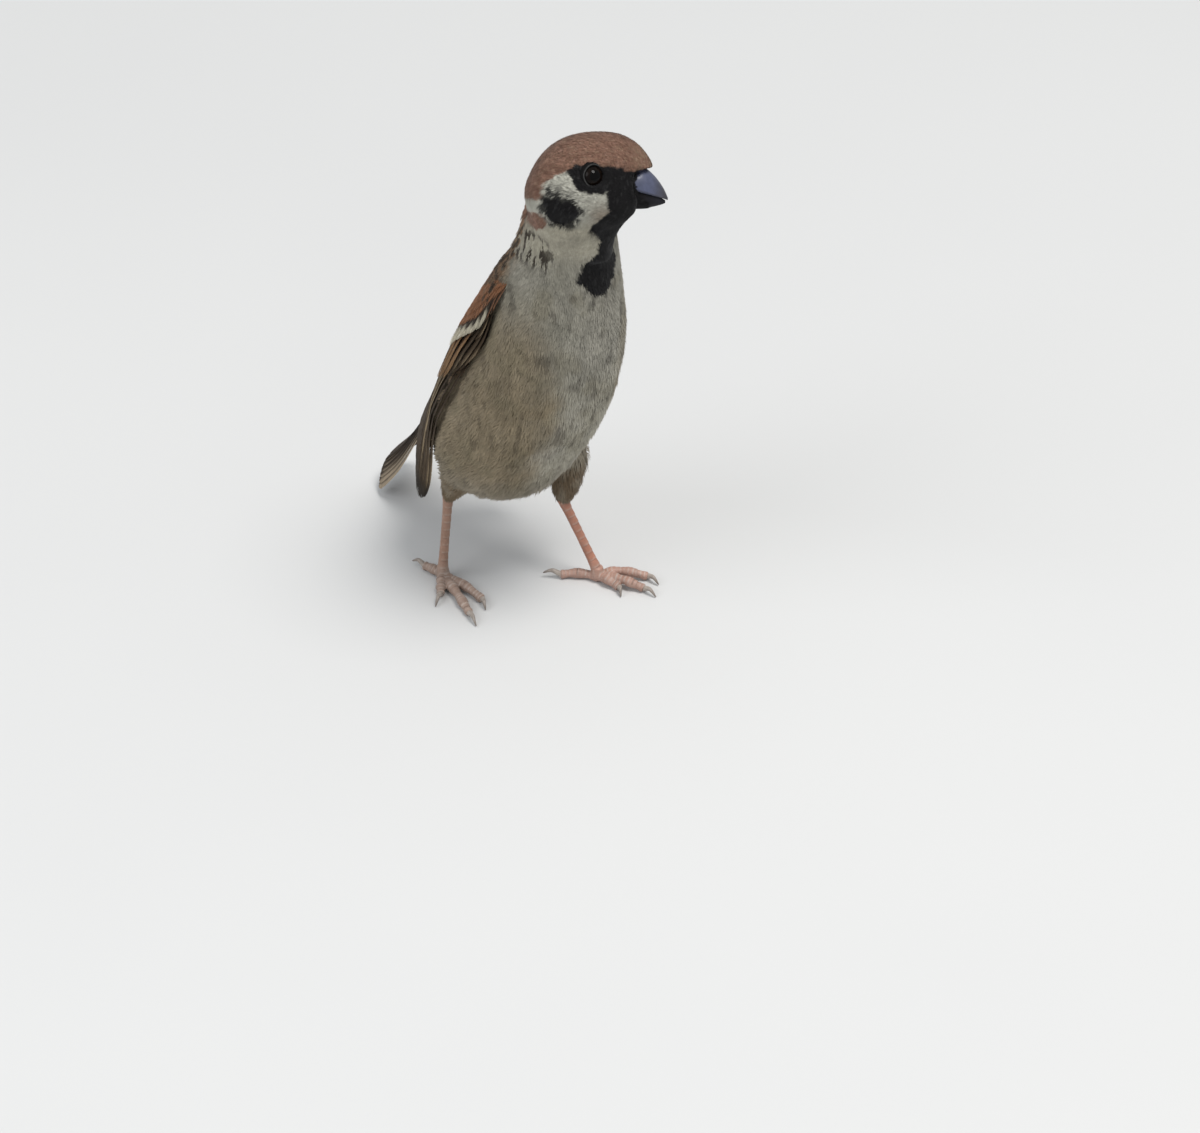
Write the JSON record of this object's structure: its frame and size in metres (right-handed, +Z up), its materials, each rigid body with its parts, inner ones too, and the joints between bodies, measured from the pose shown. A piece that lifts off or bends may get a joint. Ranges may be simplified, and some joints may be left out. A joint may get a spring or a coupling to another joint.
{
  "type": "eurasian tree sparrow",
  "caption": "Life-size tree sparrow standing upright with its head turned and cocked, wings folded and slightly drooped; a still display model.",
  "frame": {"origin": "middle of the bounding box's underside, on the floor that the feet stand on", "axes": "+Z up, -Y the way the bird's body faces, +X to the bird's left"},
  "size_m": [0.0412, 0.0775, 0.1158],
  "materials": {
    "plumage": "soft matte contour feathers: chestnut crown, white cheeks, black bib, grey-buff breast, buff flanks",
    "flight_feathers": "satin vanes, dark brown with buff edges and a white wing bar",
    "leg_skin": "fine scutes, pink-brown, satin",
    "claw": "pale to dark horn",
    "bill": "dark slate horn with a soft sheen",
    "eye": "wet gloss, dark brown iris and black pupil"
  },
  "bodies": {
    "root": {"trunk": "plumage", "neck": "plumage", "head": "plumage", "bill_upper": "bill", "bill_lower": "bill", "eye_right": "eye", "eye_left": "eye", "tail": "flight_feathers", "wing_right": "flight_feathers", "wing_left": "flight_feathers", "thigh_right": "plumage", "tarsus_right": "leg_skin", "foot_right": "leg_skin", "claw_right_middle": "claw", "claw_right_inner": "claw", "claw_right_outer": "claw", "claw_right_hind": "claw", "thigh_left": "plumage", "tarsus_left": "leg_skin", "foot_left": "leg_skin", "claw_left_middle": "claw", "claw_left_inner": "claw", "claw_left_outer": "claw", "claw_left_hind": "claw"}
  },
  "joints": []
}
